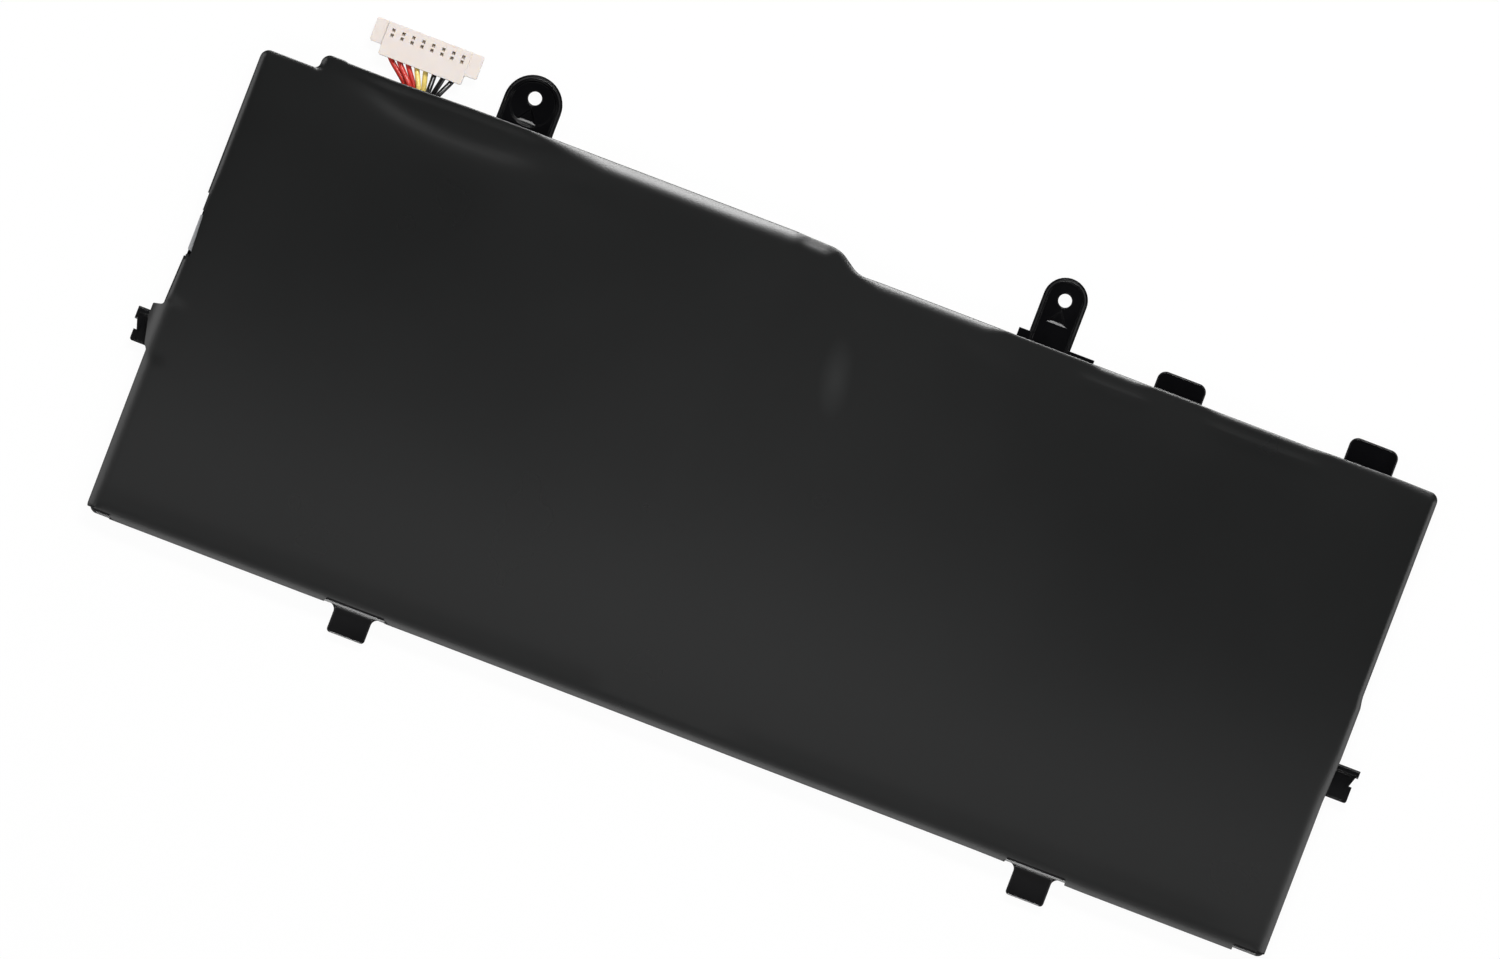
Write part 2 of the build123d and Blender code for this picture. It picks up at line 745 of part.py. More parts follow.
# Weld plates under the left cell's tabs
plate_depth = terrace_end - board_low - board_gap
with BuildPart() as weld_plates:
    with BuildSketch(Plane.XY.offset(board_top)):
        with Locations(*[(x, board_low + plate_depth / 2) for x in left_tab_xs]):
            Rectangle(tab_slot_width, plate_depth)
    extrude(amount=plate_t)
save(weld_plates.part, "weld_plates")


# Cell tabs: out of the terrace, up, and folded back on to what they are welded to
def cell_tab(x, foot_end):
    tab_z = cell_base + terrace_t / 2
    foot_z = plate_top + tab_t / 2
    with BuildPart() as tab:
        with BuildSketch(Plane.YZ.offset(x - tab_width / 2)):
            with BuildLine():
                FilletPolyline(
                    (terrace_end, tab_z), (tab_upright_y, tab_z), (tab_upright_y, foot_z), (foot_end, foot_z),
                    radius=tab_bend_r,
                )
            trace(line_width=tab_t)
        extrude(amount=tab_width)
    return tab.part


save(cell_tab(left_tab_xs[0], board_low + board_gap), "left_positive_tab")
save(cell_tab(left_tab_xs[1], board_low + board_gap), "left_negative_tab")
save(cell_tab(right_tab_xs[0], upper_lane_y - strap_lane / 2), "right_positive_tab")
save(cell_tab(right_tab_xs[1], lower_lane_y - strap_lane / 2), "right_negative_tab")

# Straps that carry the right cell's current over the web to the board
strap_start = board_right - tab_width
straps = (("near_strap", upper_lane_y, right_tab_xs[0]), ("far_strap", lower_lane_y, right_tab_xs[1]))
for name, lane_y, tab_x in straps:
    strap_end = tab_x + tab_width / 2
    with BuildPart() as strap:
        with BuildSketch(Plane.XY.offset(board_top)):
            with Locations(((strap_start + strap_end) / 2, lane_y)):
                Rectangle(strap_end - strap_start, strap_lane)
        extrude(amount=plate_t)
    save(strap.part, name)

# Free stretches of the board: beside the leads, between the left cell's tabs, and beyond them
lead_stretch = exit_x + exit_width / 2 + board_cell_gap
stretches = {
    "leads": lead_stretch,
    "tabs": left_tab_xs[0] + tab_slot_width / 2,
    "chips": left_tab_xs[1] + tab_slot_width / 2,
}
chip_y = (board_low + board_high) / 2

for name, stretch, along, length, depth, height in chips:
    with BuildPart() as chip:
        with BuildSketch(Plane.XY.offset(board_top)):
            with Locations((stretches[stretch] + along, chip_y)):
                Rectangle(length, depth)
        extrude(amount=height)
        chamfer(chip.faces().sort_by(Axis.Z)[-1].edges(), chip_edge)
    save(chip.part, name)


# Small capacitors and resistors, in grids of two rows
def passives(length, depth, height, gap, grids):
    with BuildPart() as group:
        with BuildSketch(Plane.XY.offset(board_top)):
            for x, columns in grids:
                with Locations((x, chip_y)):
                    with GridLocations(length + gap, depth + gap, columns, 2):
                        Rectangle(length, depth)
        extrude(amount=height)
    return group.part


capacitors = passives(capacitor_length, capacitor_depth, capacitor_height, capacitor_gap, (
    (stretches["leads"] + capacitors_along_leads, 2),
    (stretches["tabs"] + capacitors_along_tabs, 2),
))
resistors = passives(resistor_length, resistor_depth, resistor_height, resistor_gap, (
    (stretches["tabs"] + resistors_along_tabs, 2),
    (stretches["chips"] + resistors_along_chips, 3),
))
save(capacitors, "chip_capacitors")
save(resistors, "chip_resistors")

# Insulating strip that lies on the tallest of them
tallest = max(height for *_, height in chips)
with BuildPart() as board_cover:
    with BuildSketch(Plane.XY.offset(board_top + tallest)):
        with Locations((lead_stretch, board_low)):
            Rectangle(board_right - lead_stretch, board_depth, align=Align.MIN)
    extrude(amount=cover_t)
save(board_cover.part, "board_cover")

# Plug housing: ivory block with guide wings, a hooded rear and one way for each lead
with BuildPart() as plug_housing:
    with BuildSketch(Plane.XY):
        with Locations((plug_x, plug_rear)):
            Rectangle(plug_width, plug_length, align=(Align.CENTER, Align.MIN))
    extrude(amount=plug_height)
    with BuildSketch(Plane.XY.offset((plug_height - plug_wing_height) / 2)):
        with Locations((plug_x, plug_front)):
            Rectangle(plug_width + 2 * plug_wing_reach, plug_wing_length, align=(Align.CENTER, Align.MAX))
    extrude(amount=plug_wing_height)
    chamfer(plug_housing.edges().filter_by(Axis.Z), plug_edge)
    with BuildSketch(Plane.XZ.offset(-plug_rear)):
        with Locations((plug_x, lead_z)):
            Rectangle(plug_width - 2 * plug_hood_wall, plug_height - 2 * plug_hood_wall)
    extrude(amount=-plug_hood, mode=Mode.SUBTRACT)
    with BuildSketch(Plane.XZ.offset(-way_start)):
        with Locations((plug_x, lead_z)):
            with GridLocations(plug_pitch, plug_height, lead_count, 1):
                Rectangle(way_width, way_height)
    extrude(amount=-(plug_front - way_front_wall - way_start), mode=Mode.SUBTRACT)
    with BuildSketch(Plane.XZ.offset(-plug_front)):
        with Locations((plug_x, lead_z)):
            with GridLocations(plug_pitch, plug_height, lead_count, 1):
                Rectangle(pin_hole, pin_hole)
    extrude(amount=way_front_wall, mode=Mode.SUBTRACT)
    with BuildSketch(Plane.XY.offset(lead_z)):
        with Locations((plug_x, plug_front - window_front - window_length - window_bar / 2)):
            with GridLocations(plug_pitch, window_length + window_bar, lead_count, 2):
                Rectangle(window_width, window_length)
    extrude(amount=plug_height, mode=Mode.SUBTRACT)
save(plug_housing.part, "plug_housing")

# Crimp contacts: open boxes, one in each way
contact_width = way_width - 2 * contact_fit
contact_height = way_height - 2 * contact_fit
with BuildPart() as plug_contacts:
    with BuildSketch(Plane.XZ.offset(-contact_start)):
        with Locations((plug_x, lead_z)):
            with GridLocations(plug_pitch, plug_height, lead_count, 1):
                Rectangle(contact_width, contact_height)
    extrude(amount=-contact_length)
    with BuildSketch(Plane.XZ.offset(-contact_start - contact_wall)):
        with Locations((plug_x, lead_z)):
            with GridLocations(plug_pitch, plug_height, lead_count, 1):
                Rectangle(contact_width - 2 * contact_wall, contact_height - 2 * contact_wall)
    extrude(amount=-contact_length, mode=Mode.SUBTRACT)
save(plug_contacts.part, "plug_contacts")


# Leads: from the board, out through the gap in the bay, fanned out to the plug's ways
def bend_radii(points):
    radii = []
    for a, b, c in zip(points, points[1:], points[2:]):
        before = Vector(b) - Vector(a)
        after = Vector(c) - Vector(b)
        half_turn = math.radians(before.get_angle(after)) / 2
        radii.append(bend_share * min(before.length, after.length) / math.tan(half_turn))
    return radii


def lead_start(index):
    # Every other lead lies in an upper layer and ends on a second row of pads
    start_x = exit_x + (index - (lead_count - 1) / 2) * exit_pitch
    return start_x, board_high - lead_end_inset - (index % 2) * lead_row_pitch


def lead(index):
    low_z = board_top + lead_d / 2
    exit_z = low_z + (index % 2) * lead_layer_rise
    start_x, start_y = lead_start(index)
    way_x = plug_x + (index - (lead_count - 1) / 2) * plug_pitch
    points = [(start_x, start_y, low_z)]
    if index % 2:
        points += [(start_x, start_y + lead_row_pitch, low_z), (start_x, bay_high_in - lead_d, exit_z)]
    points += [(start_x, frame_bay_high, exit_z), (way_x, way_start, lead_z), (way_x, contact_start, lead_z)]
    with BuildPart() as tube:
        with BuildLine() as route:
            FilletPolyline(*points, radius=bend_radii(points))
        with BuildSketch(Plane(origin=route.wire() @ 0, z_dir=route.wire() % 0)):
            RegularPolygon(lead_d / 2, lead_sides)
        sweep(path=route.wire())
    return tube.part


for index, colour in enumerate(lead_colours):
    number = lead_colours[: index + 1].count(colour)
    save(lead(index), f"{colour}_lead_{number}")

# Solder joints at the leads' ends on the board
with BuildPart() as lead_solder:
    with BuildSketch(Plane.XY.offset(board_top)):
        with Locations(*[lead_start(index) for index in range(lead_count)]):
            Rectangle(solder_width, solder_width, align=(Align.CENTER, Align.MAX))
    extrude(amount=solder_h, taper=solder_slope)
save(lead_solder.part, "lead_solder")
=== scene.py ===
import math

import bmesh
import bpy
import numpy as np
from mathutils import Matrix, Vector, geometry


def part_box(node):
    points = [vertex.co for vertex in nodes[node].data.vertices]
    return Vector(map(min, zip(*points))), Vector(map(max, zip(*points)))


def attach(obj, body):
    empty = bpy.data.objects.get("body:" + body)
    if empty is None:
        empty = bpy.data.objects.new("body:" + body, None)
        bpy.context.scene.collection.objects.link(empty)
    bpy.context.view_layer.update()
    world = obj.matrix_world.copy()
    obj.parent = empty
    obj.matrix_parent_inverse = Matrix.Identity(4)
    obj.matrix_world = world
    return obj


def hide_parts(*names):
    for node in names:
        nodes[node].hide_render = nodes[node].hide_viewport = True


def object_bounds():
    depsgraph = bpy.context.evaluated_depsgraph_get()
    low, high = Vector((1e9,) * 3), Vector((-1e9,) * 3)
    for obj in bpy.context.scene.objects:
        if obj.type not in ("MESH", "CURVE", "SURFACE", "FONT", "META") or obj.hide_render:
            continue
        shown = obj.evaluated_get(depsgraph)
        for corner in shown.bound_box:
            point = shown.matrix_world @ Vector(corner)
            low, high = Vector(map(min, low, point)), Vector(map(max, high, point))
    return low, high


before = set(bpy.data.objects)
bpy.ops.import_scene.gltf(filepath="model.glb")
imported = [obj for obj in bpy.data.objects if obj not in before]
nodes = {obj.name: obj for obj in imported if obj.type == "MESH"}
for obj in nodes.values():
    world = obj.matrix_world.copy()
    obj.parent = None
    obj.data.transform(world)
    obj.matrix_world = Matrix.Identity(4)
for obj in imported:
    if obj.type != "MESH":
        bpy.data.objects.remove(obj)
cadLow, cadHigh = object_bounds()
mm = 0.001
print("frame loaded:", len(nodes), "nodes")


# Small helpers
def linear(hexCode):
    # sRGB hex to linear colour
    channels = [int(hexCode[i:i + 2], 16) / 255 for i in (1, 3, 5)]
    return tuple(c / 12.92 if c <= 0.04045 else ((c + 0.055) / 1.055) ** 2.4 for c in channels) + (1.0,)


def addNode(tree, kind, settings=None, inputs=None, links=None):
    node = tree.nodes.new(kind)
    for name, value in (settings or {}).items():
        setattr(node, name, value)
    for socket, value in (inputs or {}).items():
        node.inputs[socket].default_value = value
    for socket, source in (links or {}).items():
        tree.links.new(source, node.inputs[socket])
    return node


def perMetre(sizeMm):
    # texture scale that gives features of this size
    return 1.0 / (sizeMm * mm)


def newPiece(name, mesh, material, replaced=()):
    piece = bpy.data.objects.new(name, mesh)
    bpy.context.scene.collection.objects.link(piece)
    mesh.materials.clear()
    mesh.materials.append(material)
    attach(piece, "root")
    if replaced:
        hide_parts(*replaced)


def evaluatedMesh(source):
    # plain mesh of an object with its modifiers, and the object removed
    graph = bpy.context.evaluated_depsgraph_get()
    mesh = bpy.data.meshes.new_from_object(source.evaluated_get(graph), depsgraph=graph)
    data = source.data
    bpy.data.objects.remove(source)
    if isinstance(data, bpy.types.Mesh):
        bpy.data.meshes.remove(data)
    else:
        bpy.data.curves.remove(data)
    return mesh


def nodeBox(name):
    # a node's corners in millimetres
    low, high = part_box(name)
    return Vector(low) / mm, Vector(high) / mm


# Camera: straight down, turned as the pack lies in the picture
cameraView = {
    "turn": 20.9,        # degrees
    "middle": (-3.95, 3.37),
    "width": 280.9,      # of the picture, at the film's face
    "distance": 2400.0,
    "sensor": 36.0,
    "clipEnd": 20.0,     # metres
}
camera = bpy.data.objects.new("camera", bpy.data.cameras.new("camera"))
bpy.context.scene.collection.objects.link(camera)
faceLevel = nodeBox("top_film")[1].z
camera.data.sensor_width = cameraView["sensor"]
camera.data.lens = cameraView["sensor"] * cameraView["distance"] / cameraView["width"]
camera.location = (
    cameraView["middle"][0] * mm,
    cameraView["middle"][1] * mm,
    (faceLevel + cameraView["distance"]) * mm,
)
camera.rotation_euler = (0, 0, math.radians(cameraView["turn"]))
camera.data.clip_end = cameraView["clipEnd"]
bpy.context.scene.camera = camera
bpy.context.scene.view_settings.view_transform = "Standard"

# Studio: white sweep under a sky that darkens upwards, a long softbox overhead, and lights on each side
studio = {
    "floorSize": 8.0,
    "floorGap": 0.01,    # below the base film
    "floorGlow": 0.96,   # share of the floor that stays plain white
    "horizon": 0.30,
    "zenith": 0.01,
    "falloff": 1.5,
    "darkPole": 4.0,     # degrees that the darkest part leans to the far side
}
lamps = (
    # name, direction round the pack and height in degrees, distance, size, watts
    ("farSoftbox", 90, 56, 0.90, (0.40, 0.16), 6.0),
    ("nearSoftbox", -90, 54, 0.90, (0.60, 0.24), 1.7),
    ("nearFill", -90, 74, 0.90, (0.60, 0.14), 0.11),
    ("leftSoftbox", 180, 42, 0.90, (0.25, 0.30), 0.75),
    ("rightSoftbox", 0, 44, 0.90, (0.25, 0.34), 0.95),
    ("farStrip", 90, 14, 0.80, (0.25, 0.05), 1.0),
    ("nearStrip", -90, 2.5, 0.80, (0.30, 0.05), 1.8),
)
overheads = (
    # name, place, size, watts
    ("overheadStrip", (0.005, -0.036, 0.25), (0.52, 0.024), 0.053),
    ("overheadBox", (0.000, -0.002, 0.25), (0.09, 0.07), 0.0055),
)


def buildStudio():
    world = bpy.data.worlds.new("studio")
    bpy.context.scene.world = world
    world.use_nodes = True
    tree = world.node_tree
    tree.nodes.clear()
    direction = addNode(tree, "ShaderNodeTexCoord").outputs["Generated"]
    lean = math.radians(studio["darkPole"])
    pole = addNode(tree, "ShaderNodeVectorMath", {"operation": "DOT_PRODUCT"},
                   {1: (0, math.sin(lean), math.cos(lean))}, {0: direction})
    angle = addNode(tree, "ShaderNodeMath", {"operation": "ARCCOSINE"}, links={0: pole.outputs["Value"]})
    share = addNode(tree, "ShaderNodeMath", {"operation": "DIVIDE"}, {1: math.pi / 2}, {0: angle.outputs[0]})
    curve = addNode(tree, "ShaderNodeMath", {"operation": "POWER"}, {1: studio["falloff"]},
                    {0: share.outputs[0]})
    shade = addNode(tree, "ShaderNodeMapRange", {"interpolation_type": "LINEAR"},
                    {"To Min": studio["zenith"], "To Max": studio["horizon"]}, {"Value": curve.outputs[0]})
    sky = addNode(tree, "ShaderNodeBackground", inputs={"Color": (1, 1, 1, 1)},
                  links={"Strength": shade.outputs["Result"]})
    # the camera sees plain white
    plain = addNode(tree, "ShaderNodeBackground", inputs={"Color": (1, 1, 1, 1), "Strength": 1.0})
    rays = addNode(tree, "ShaderNodeLightPath")
    backdrop = addNode(tree, "ShaderNodeMixShader",
                       links={0: rays.outputs["Is Camera Ray"], 1: sky.outputs[0], 2: plain.outputs[0]})
    addNode(tree, "ShaderNodeOutputWorld", links={"Surface": backdrop.outputs[0]})

    # White floor that keeps a faint shadow
    material = bpy.data.materials.new("paper sweep, matt white")
    material.use_nodes = True
    tree = material.node_tree
    tree.nodes.clear()
    paper = addNode(tree, "ShaderNodeBsdfDiffuse", inputs={"Color": linear("#f4f4f4")})
    glow = addNode(tree, "ShaderNodeEmission", inputs={"Color": (1, 1, 1, 1), "Strength": 1.0})
    rays = addNode(tree, "ShaderNodeLightPath")
    seen = addNode(tree, "ShaderNodeMath", {"operation": "MAXIMUM"},
                   links={0: rays.outputs["Is Camera Ray"], 1: rays.outputs["Is Glossy Ray"]})
    seen = addNode(tree, "ShaderNodeMath", {"operation": "MAXIMUM"},
                   links={0: seen.outputs[0], 1: rays.outputs["Is Transmission Ray"]})
    share = addNode(tree, "ShaderNodeMath", {"operation": "MULTIPLY"}, {1: studio["floorGlow"]},
                    {0: seen.outputs[0]})
    lit = addNode(tree, "ShaderNodeMixShader",
                  links={0: share.outputs[0], 1: paper.outputs[0], 2: glow.outputs[0]})
    # from below the floor is clear, so that the base film shows
    face = addNode(tree, "ShaderNodeNewGeometry")
    clear = addNode(tree, "ShaderNodeBsdfTransparent")
    sweep = addNode(tree, "ShaderNodeMixShader",
                    links={0: face.outputs["Backfacing"], 1: lit.outputs[0], 2: clear.outputs[0]})
    addNode(tree, "ShaderNodeOutputMaterial", links={"Surface": sweep.outputs[0]})
    half = studio["floorSize"] / 2
    mesh = bpy.data.meshes.new("floor")
    ends = [(-half, -half, 0), (half, -half, 0), (half, half, 0), (-half, half, 0)]
    mesh.from_pydata(ends, [], [(0, 1, 2, 3)])
    mesh.materials.append(material)
    floor = bpy.data.objects.new("floor", mesh)
    floor.location.z = cadLow.z - studio["floorGap"] * mm
    bpy.context.scene.collection.objects.link(floor)

    def addLamp(name, place, turn, size, watts):
        light = bpy.data.lights.new(name, "AREA")
        light.shape = "RECTANGLE"
        light.size, light.size_y = size
        light.energy = watts
        lamp = bpy.data.objects.new(name, light)
        lamp.location = place
        lamp.rotation_euler = turn
        lamp.visible_camera = False
        bpy.context.scene.collection.objects.link(lamp)

    for name, bearing, height, distance, size, watts in lamps:
        turn, rise = math.radians(bearing), math.radians(height)
        aim = Vector((math.cos(turn) * math.cos(rise), math.sin(turn) * math.cos(rise), math.sin(rise)))
        addLamp(name, aim * distance, (math.pi / 2 - rise, 0, turn + math.pi / 2), size, watts)
    for name, place, size, watts in overheads:
        addLamp(name, place, (0, 0, 0), size, watts)


buildStudio()
print("studio ready")


# Materials
def startMaterial(name):
    material = bpy.data.materials.new(name)
    material.use_nodes = True
    tree = material.node_tree
    tree.nodes.clear()
    shader = addNode(tree, "ShaderNodeBsdfPrincipled")
    addNode(tree, "ShaderNodeOutputMaterial", links={"Surface": shader.outputs[0]})
    place = addNode(tree, "ShaderNodeTexCoord").outputs["Object"]
    return material, tree, shader, place


mixInputs, mixOutput = (6, 7), 2     # colour sockets of the mix node
cloudRange = (0.3, 0.7)              # where most of the noise lies


def mixColours(tree, share):
    return addNode(tree, "ShaderNodeMix", {"data_type": "RGBA"}, links={0: share})


def surface(name, colour, colourTwo, patch, roughness, roughSpread, grain, grainDepth, ior=1.5, metallic=0.0,
            edge=0.0):
    # Two close colours in soft patches, uneven roughness, and a fine bump, with sizes in millimetres
    material, tree, shader, place = startMaterial(name)
    shader.inputs["Metallic"].default_value = metallic
    shader.inputs["IOR"].default_value = ior
    cloud = addNode(tree, "ShaderNodeTexNoise", inputs={"Scale": perMetre(patch), "Detail": 3.0},
                    links={"Vector": place})
    tint = mixColours(tree, cloud.outputs["Fac"])
    tint.inputs[mixInputs[0]].default_value = linear(colour)
    tint.inputs[mixInputs[1]].default_value = linear(colourTwo)
    tree.links.new(tint.outputs[mixOutput], shader.inputs["Base Color"])
    rough = addNode(tree, "ShaderNodeMapRange",
                    inputs={"From Min": cloudRange[0], "From Max": cloudRange[1],
                            "To Min": roughness - roughSpread, "To Max": roughness + roughSpread},
                    links={"Value": cloud.outputs["Fac"]})
    tree.links.new(rough.outputs["Result"], shader.inputs["Roughness"])
    fine = addNode(tree, "ShaderNodeTexNoise", inputs={"Scale": perMetre(grain), "Detail": 2.0},
                   links={"Vector": place})
    bump = addNode(tree, "ShaderNodeBump", inputs={"Strength": 1.0, "Distance": grainDepth * mm},
                   links={"Height": fine.outputs["Fac"]})
    if edge:
        # moulded edges are never sharp, so the normal is rounded over a small radius
        soft = addNode(tree, "ShaderNodeBevel", {"samples": 6}, {"Radius": edge * mm})
        tree.links.new(soft.outputs[0], bump.inputs["Normal"])
    tree.links.new(bump.outputs[0], shader.inputs["Normal"])
    return material, tree, shader, place


# Polyester film, calendered satin black: an even sheen that softens every reflection
filmLook = ("#0b0c0c", "#0d0e0e", 30.0, 0.28, 0.008, 0.5, 0.0001)
satinFilm = surface("polyester film, satin black", *filmLook)[0]
# The same film with a painted highlight: a faint paler streak near the middle of the face, standing in for
# light off the film's slope at the right cell's edge
highlightStreak = {
    "start": (2.8, 34.8),
    "end": (5.8, 18.6),
    "halfWidth": 3.2,
    "halfDepth": 1.0,
    "level": 5.25,
    "colour": "#212222",
}
highlightedFilm, tree, shader, place = surface("polyester film, satin black, painted highlight", *filmLook)
reach = (Vector(highlightStreak["end"]) - Vector(highlightStreak["start"])) / 2
centre = (Vector(highlightStreak["end"]) + Vector(highlightStreak["start"])) / 2
spot = addNode(tree, "ShaderNodeMapping", {"vector_type": "TEXTURE"},
               {"Location": (centre.x * mm, centre.y * mm, highlightStreak["level"] * mm),
                "Rotation": (0, 0, math.atan2(reach.y, reach.x)),
                "Scale": (reach.length * mm, highlightStreak["halfWidth"] * mm, highlightStreak["halfDepth"] * mm)},
               {"Vector": place})
fade = addNode(tree, "ShaderNodeTexGradient", {"gradient_type": "SPHERICAL"},
               links={"Vector": spot.outputs[0]})
# painted highlight: the paler colour is blended into the base colour along the streak, where the sloping film
# would catch light
streakMix = mixColours(tree, fade.outputs["Fac"])
tree.links.new(shader.inputs["Base Color"].links[0].from_socket, streakMix.inputs[mixInputs[0]])
streakMix.inputs[mixInputs[1]].default_value = linear(highlightStreak["colour"])
tree.links.new(streakMix.outputs[mixOutput], shader.inputs["Base Color"])
# Polycarbonate blend, injection moulded black: a deeper black with small crisp highlights
mouldedBlack = surface("polycarbonate blend, moulded black", "#050506", "#08080a", 6.0, 0.17, 0.02,
                       0.25, 0.0004, 1.36, edge=0.1)[0]
# Nylon, injection moulded without filler: warm milky white that lets a little light through
ivoryNylon, _, shader, _ = surface("nylon, moulded ivory", "#e4dbd6", "#dfd6cf", 3.0, 0.42, 0.05, 0.3, 0.001,
                                  1.53, edge=0.15)
shader.inputs["Subsurface Weight"].default_value = 0.5
shader.inputs["Subsurface Radius"].default_value = (1.2 * mm, 1.0 * mm, 0.7 * mm)
# Flexible PVC, extruded on to the wire: strong colour with a wet-looking gloss
redPvc = surface("flexible pvc, extruded red", "#d6392f", "#c82f26", 2.0, 0.30, 0.04, 0.4, 0.0015, 1.53)[0]
yellowPvc = surface("flexible pvc, extruded yellow", "#f3da7c", "#ecd06c",
                    2.0, 0.30, 0.04, 0.4, 0.0015, 1.53)[0]
blackPvc = surface("flexible pvc, extruded black", "#0b0a0a", "#121011",
                   2.0, 0.24, 0.04, 0.4, 0.0015, 1.53)[0]
# Phosphor bronze, tin plated and stamped: dull silver
tinPlate = surface("phosphor bronze, tin plated", "#c9bfb2", "#b8ada0", 1.0, 0.60, 0.06, 0.2, 0.001,
                   metallic=1.0)[0]
# Aluminium laminate, cold formed pouch: soft silver with shallow dimples
pouchFoil = surface("aluminium laminate, formed pouch", "#d2d4d6", "#c6c8cb", 8.0, 0.33, 0.05, 1.2, 0.006,
                    metallic=0.85)[0]
# Acrylic transfer adhesive: hazy and faintly yellow
clearAdhesive = surface("acrylic adhesive, transfer sheet", "#e4dfcf", "#d8d2bf",
                        5.0, 0.55, 0.06, 0.8, 0.004)[0]
# Aluminium foil, annealed: bright and slightly rumpled
softFoil = surface("aluminium, annealed foil", "#dcdee0", "#d0d2d5", 3.0, 0.28, 0.05, 0.8, 0.004,
                   metallic=1.0)[0]
# Nickel strip, cold rolled: warm grey metal with a faint rolled grain
rolledNickel = surface("nickel, cold rolled strip", "#b9b2a6", "#aaa398", 3.0, 0.32, 0.05, 0.3, 0.001,
                       metallic=1.0)[0]
# Tin solder, reflowed: bright lumps
solderTin = surface("tin solder, reflowed", "#c9cacc", "#b6b7ba", 0.8, 0.25, 0.06, 0.4, 0.006,
                    metallic=1.0)[0]
# Glass epoxy with solder mask: glossy green over a woven cloth
maskedBoard = surface("glass epoxy, solder masked", "#1d5a33", "#17502c", 4.0, 0.30, 0.04, 0.6, 0.003)[0]
# Epoxy moulding compound: flat charcoal
chipEpoxy = surface("epoxy compound, moulded", "#26262a", "#1f1f22", 1.0, 0.58, 0.05, 0.15, 0.002)[0]
# Alumina, fired: chalky cream
firedAlumina = surface("alumina, fired", "#d9d2bf", "#cfc7b2", 1.0, 0.55, 0.06, 0.2, 0.002)[0]
# Barium titanate, fired: biscuit brown
firedTitanate = surface("barium titanate, fired", "#a5845c", "#96764f", 0.6, 0.5, 0.06, 0.2, 0.002)[0]
# Vulcanised fibre paper: soft black with a felted face
fibrePaper = surface("fibre paper, calendered black", "#1a1918", "#232120", 1.5, 0.75, 0.06, 0.3, 0.006)[0]

nodeFinishes = {
    "frame": mouldedBlack,
    "bottom_film": satinFilm,
    "plug_housing": ivoryNylon,
    "plug_contacts": tinPlate,
    "left_cell": pouchFoil,
    "right_cell": pouchFoil,
    "left_base_tape": clearAdhesive,
    "left_face_tape": clearAdhesive,
    "right_base_tape": clearAdhesive,
    "right_face_tape": clearAdhesive,
    "left_positive_tab": softFoil,
    "right_positive_tab": softFoil,
    "left_negative_tab": rolledNickel,
    "right_negative_tab": rolledNickel,
    "near_strap": rolledNickel,
    "far_strap": rolledNickel,
    "weld_plates": rolledNickel,
    "lead_solder": solderTin,
    "circuit_board": maskedBoard,
    "charge_switch": chipEpoxy,
    "discharge_switch": chipEpoxy,
    "gauge_chip": chipEpoxy,
    "protector_chip": chipEpoxy,
    "sense_resistor": chipEpoxy,
    "thermistor": chipEpoxy,
    "chip_resistors": chipEpoxy,
    "safety_fuse": firedAlumina,
    "chip_capacitors": firedTitanate,
    "board_cover": fibrePaper,
}
for name, material in nodeFinishes.items():
    slots = nodes[name].data.materials
    slots.clear()
    slots.append(material)
print("materials ready:", len(bpy.data.materials))


# Face film: one die-cut sheet, folded over the frame and drawn tight over the two cells
filmSheet = {
    "thickness": 0.12,
    "level": 5.20,        # of its face over the rails
    "skirtBase": 3.24,
    "rollWidth": 0.06,    # tight rounding at the very edge
    "rollDrop": 0.06,
    "edgeStep": 0.8,      # spacing of points along the outline
    "gridStep": 1.1,
    "flapStep": 0.45,
    "rings": (0.03, 0.06, 0.14, 0.26, 0.42, 0.62, 0.88, 1.2, 1.6, 2.1, 2.7, 3.3),
    "cellSlopes": {       # half-widths of the slopes at each cell's left, right, lower and upper sides
        "left_cell": (4.0, 2.6, 2.2, 6.0),
        "right_cell": (4.5, 8.0, 2.2, 6.0),
    },
    "baseInset": 1.2,     # of the base film, inside the body's outline
    "cornerRadius": 1.7,
    "bayInset": 11.0,
    "bayRise": 3.1,
    "bayEndWall": 4.45,   # from the board's end to the middle of the curved step
    "stepRun": 4.6,
    "stepRadius": 5.6,
    "rootRadius": 1.0,
    "hookXs": (-64.4, 72.1),
    "hookNotch": (6.35, 0.95),    # half-width and depth
    "bareLeft": 4.4,
    "bareRight": 6.2,
    "sideNotch": (4.8, 17.4, 1.0, 0.35),     # low and high ends, and the depth at each
    "flapYs": (-5.1, -5.55, -7.9, -13.2, -14.2),
    "flapReach": (1.9, 0.65),
    "flapStart": 3.4,     # inside the edge, where the film starts to roll down
    "flapBlend": 2.4,     # run along the edge from the fold to the flap
    "flapTip": 3.85,
    "flapCurve": 2.4,     # power of the curve that it rolls down along
    "flapRadii": (0.6, 0.25, 0.8, 0.6, 0.6),
    "edgeSlack": 0.02,    # within this of the outline a point counts as on it
    "edgeZone": 2.0,      # points this near a side belong to it
    "liftRun": 2.5,       # from the edge to where the film's full relief shows
    "foldFade": (-0.05, 0.25),    # shares of a fold's length over which each end fades
    "cutReach": 2.0,      # of the cut-outs, past the outline
    "cutRadius": 0.35,
    "hookSlant": 0.5,     # of the notch's sides
    "gridGap": 0.6,       # from the last ring to the grid
    "flapMargins": (0.2, 0.1),    # of the flap's points, from the sheet's edge and the fold
    "mergeGap": 1e-4,
    "sharpAngle": 50.0,
}
